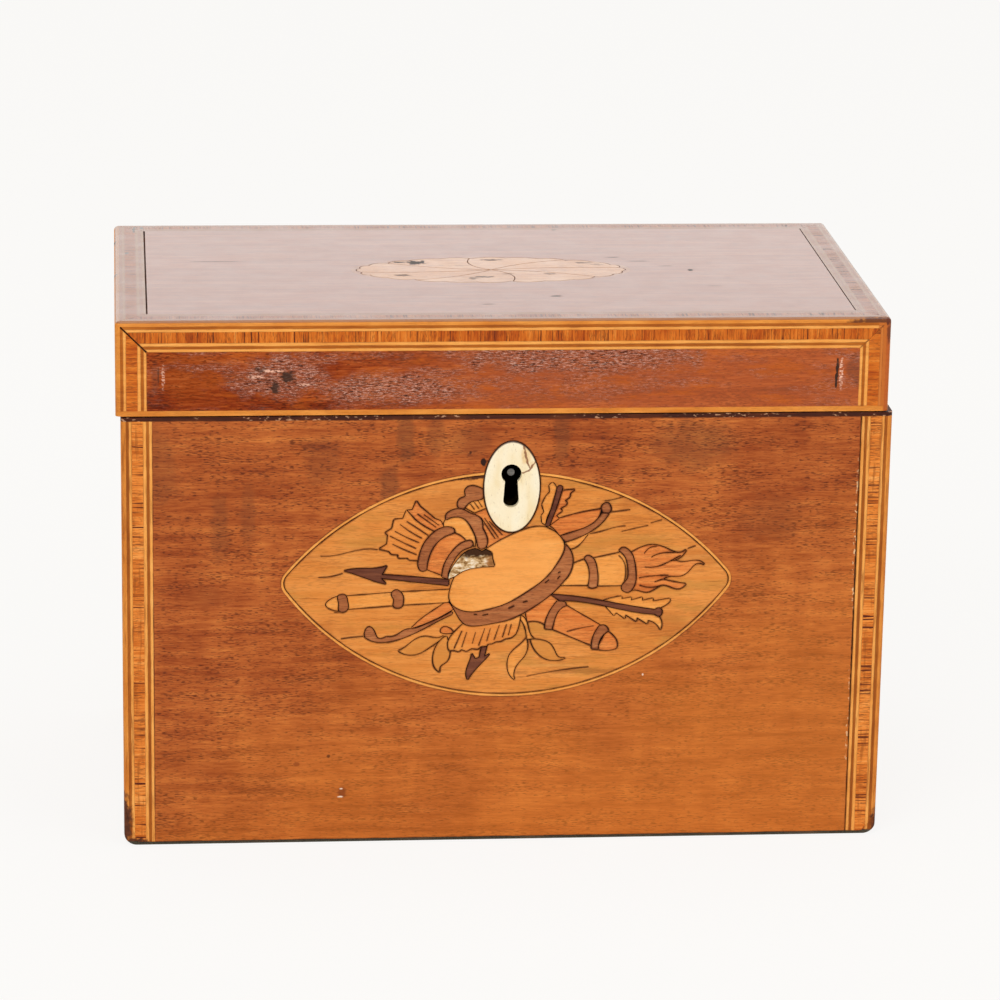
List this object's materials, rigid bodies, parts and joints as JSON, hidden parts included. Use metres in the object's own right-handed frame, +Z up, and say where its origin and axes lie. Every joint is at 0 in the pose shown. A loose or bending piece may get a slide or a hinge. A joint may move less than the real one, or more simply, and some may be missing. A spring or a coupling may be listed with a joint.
{
  "type": "tea caddy",
  "caption": "Oblong veneered tea caddy with a hinged lid, lidded compartments, a box lock behind a bone escutcheon, banded edges and a pointed oval of inlaid trophies.",
  "frame": {"origin": "centre of the underside of the body, on the surface that the caddy stands on", "axes": "+X to the right along the front, +Y from the front to the back, +Z up"},
  "size_m": [0.1912, 0.1061, 0.135],
  "materials": {
    "mahogany_carcass": "planed, unpolished, darkened with age",
    "mahogany_front": "French polished, lightly worn",
    "mahogany_lid": "crazed old shellac, scuffed",
    "mahogany_sides": "French polished",
    "boxwood": "polished",
    "light_line": "polished",
    "dark_line": "polished",
    "crossbanding": "polished, grain across the band",
    "rim_wood": "worn, dark",
    "satinwood_ground": "polished",
    "light_wood": "polished",
    "orange_wood": "polished",
    "red_wood": "polished",
    "dark_wood": "polished",
    "lid_satinwood": "polished, faded",
    "lid_leaf_wood": "polished, faded",
    "cedar_lining": "planed",
    "glue": "dark hide glue and old wax",
    "filler": "pale old filler with dark grime",
    "bone": "polished bone, stained",
    "brass": "tarnished",
    "iron": "dull steel",
    "lead_foil": "dull lead foil",
    "baize": "worn green baize",
    "lining_paper": "old marbled lining paper"
  },
  "bodies": {
    "body": {"front_board": "mahogany_carcass", "back_board": "mahogany_carcass", "side_boards": "mahogany_carcass", "bottom_board": "mahogany_carcass", "base_baize": "baize", "front_veneer": "mahogany_front", "back_veneer": "mahogany_sides", "side_veneers": "mahogany_sides", "body_corner_edging": "boxwood", "body_light_lines": "light_line", "body_dark_lines": "dark_line", "body_crossbanding": "crossbanding", "rim_edging": "rim_wood", "marquetry_bed": "glue", "medallion_ground": "satinwood_ground", "medallion_stringing": "boxwood", "trophy_light_woods": "light_wood", "trophy_orange_woods": "orange_wood", "trophy_red_woods": "red_wood", "trophy_dark_woods": "dark_wood", "drum_filler": "filler", "escutcheon": "bone", "lock_case": "brass", "lock_cap": "brass", "lock_drill_pin": "iron", "lock_spring": "iron", "lock_screws": "iron", "partition": "cedar_lining", "linings_left": "cedar_lining", "linings_right": "cedar_lining", "foil_linings": "lead_foil", "hinge_body_leaves": "brass", "hinge_pins": "iron", "hinge_body_screws": "iron"},
    "lid": {"lid_front_rail": "mahogany_carcass", "lid_back_rail": "mahogany_carcass", "lid_side_rails": "mahogany_carcass", "lid_top_board": "mahogany_carcass", "lid_front_veneer": "mahogany_lid", "lid_back_veneer": "mahogany_lid", "lid_side_veneers": "mahogany_lid", "lid_top_veneer": "mahogany_lid", "lid_edging": "boxwood", "lid_light_lines": "light_line", "lid_dark_lines": "dark_line", "lid_crossbanding": "crossbanding", "lid_oval_bed": "glue", "lid_oval_ground": "lid_satinwood", "lid_oval_leaves": "lid_leaf_wood", "link_plate": "brass", "lid_screws": "iron", "hinge_lid_leaves": "brass", "lid_lining": "lining_paper"},
    "bolt": {"lock_bolt": "brass"},
    "left_inner_lid": {"inner_lid_left": "cedar_lining", "knob_left": "bone"},
    "right_inner_lid": {"inner_lid_right": "cedar_lining", "knob_right": "bone"}
  },
  "joints": [
    {"name": "lid_hinge", "type": "hinge", "parent": "body", "child": "lid", "pos_m": [0, 0.0508, 0.11115], "axis": [-1, 0, 0], "range_deg": [0, 100]},
    {"name": "bolt_slide", "type": "slide", "parent": "body", "child": "bolt", "axis": [1, 0, 0], "range_m": [0, 0.0045]},
    {"name": "left_inner_lid_lift", "type": "slide", "parent": "body", "child": "left_inner_lid", "axis": [0, 0, 1], "range_m": [0, 0.008]},
    {"name": "right_inner_lid_lift", "type": "slide", "parent": "body", "child": "right_inner_lid", "axis": [0, 0, 1], "range_m": [0, 0.008]}
  ]
}
